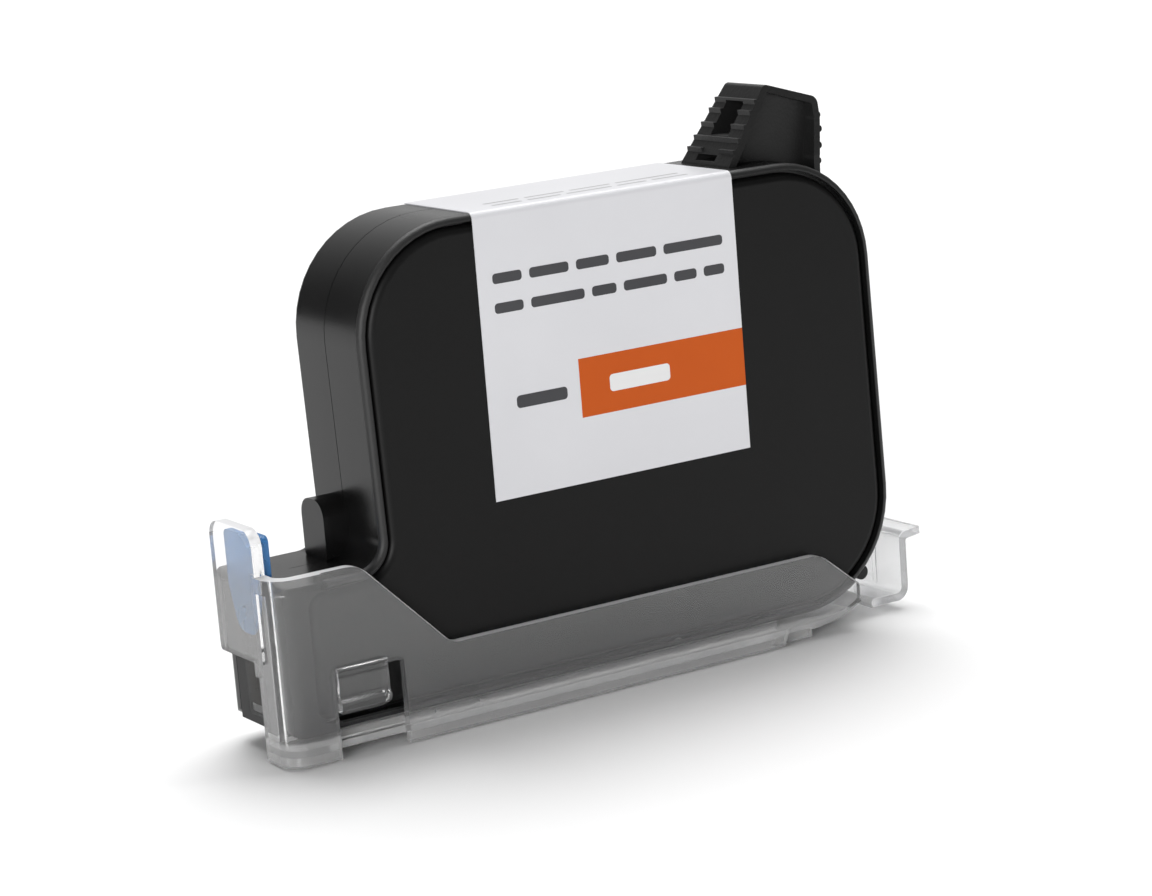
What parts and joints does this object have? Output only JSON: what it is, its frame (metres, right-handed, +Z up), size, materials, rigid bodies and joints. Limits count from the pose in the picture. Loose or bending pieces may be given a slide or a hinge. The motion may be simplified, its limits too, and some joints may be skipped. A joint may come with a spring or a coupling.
{
  "type": "thermal inkjet cartridge in its protective clip",
  "caption": "Flat black thermal ink cartridge for a date-code printer, with a pull grip and a wrapped label, lying nose-left in its clear protective clip.",
  "frame": {"origin": "on the surface that the clip stands on, under the middle of the cartridge's body and halfway through its thickness", "axes": "+X along the cartridge from the nose to the grip end, +Y from the front face to the rear face, +Z up"},
  "size_m": [0.0998, 0.021, 0.0728],
  "materials": {
    "frame_plastic": "black moulded plastic with a fine spark texture",
    "cover_plastic": "black satin moulded plastic",
    "grip_plastic": "black moulded plastic, coarser texture",
    "label_stock": "white satin self-adhesive label",
    "bag_plastic": "natural moulded plastic",
    "bag_film": "laminated barrier film",
    "steel": "rolled stainless steel",
    "rubber": "moulded seal rubber",
    "silicon": "polished silicon",
    "nozzle": "dark plated nozzle plate",
    "epoxy": "cured black encapsulant",
    "coverlay": "black polyimide film",
    "gold": "gold plated copper",
    "clear_film": "clear tape",
    "blue_film": "translucent blue film",
    "clear_plastic": "clear moulded polycarbonate",
    "plug_plastic": "moulded plug"
  },
  "bodies": {
    "clip": {"clip_shell": "clear_plastic"},
    "cartridge": {"front_frame": "frame_plastic", "rear_frame": "frame_plastic", "front_cover": "cover_plastic", "rear_cover": "cover_plastic", "nose_cap": "frame_plastic", "pull_grip": "grip_plastic", "label": "label_stock", "bag_frame": "bag_plastic", "front_bag_film": "bag_film", "rear_bag_film": "bag_film", "regulator_spring": "steel", "fill_ball": "steel", "vent_plug": "plug_plastic", "standpipe": "bag_plastic", "standpipe_gasket": "rubber", "filter_screen": "steel", "printhead_die": "silicon", "nozzle_plate": "nozzle", "encapsulant_beads": "epoxy", "flex_circuit": "coverlay", "contact_pads": "gold", "protective_tape": "clear_film", "pull_tab": "blue_film"},
    "front_plate": {"front_pressure_plate": "steel"},
    "rear_plate": {"rear_pressure_plate": "steel"},
    "front_finger": {"front_snap_finger": "clear_plastic"},
    "rear_finger": {"rear_snap_finger": "clear_plastic"},
    "lever": {"release_lever": "clear_plastic"}
  },
  "joints": [
    {"name": "clip_lift_off", "type": "slide", "parent": "clip", "child": "cartridge", "axis": [0, 0, 1], "range_m": [0, 0.032]},
    {"name": "lever_flex", "type": "hinge", "parent": "clip", "child": "lever", "pos_m": [0.0373, 0, 0.00137], "axis": [0, 1, 0], "range_deg": [0, 8], "stiffness_Nm_per_rad": 0.02},
    {"name": "front_finger_flex", "type": "hinge", "parent": "clip", "child": "front_finger", "pos_m": [-0.043, -0.00942, 0.0106], "axis": [-1, 0, 0], "range_deg": [0, 10], "stiffness_Nm_per_rad": 0.02},
    {"name": "rear_finger_flex", "type": "hinge", "parent": "clip", "child": "rear_finger", "pos_m": [-0.043, 0.00942, 0.0106], "axis": [1, 0, 0], "range_deg": [0, 10], "stiffness_Nm_per_rad": 0.02},
    {"name": "regulator_squeeze", "type": "slide", "parent": "cartridge", "child": "front_plate", "axis": [0, 1, 0], "range_m": [0, 0.0026], "stiffness_N_per_m": 30, "deforming": ["regulator_spring"]},
    {"name": "rear_plate_slide", "type": "slide", "parent": "cartridge", "child": "rear_plate", "axis": [0, -1, 0], "range_m": [0, 0.0026]}
  ],
  "couplings": [
    {"joint": "rear_plate_slide", "follows": "regulator_squeeze", "ratio": 1}
  ]
}
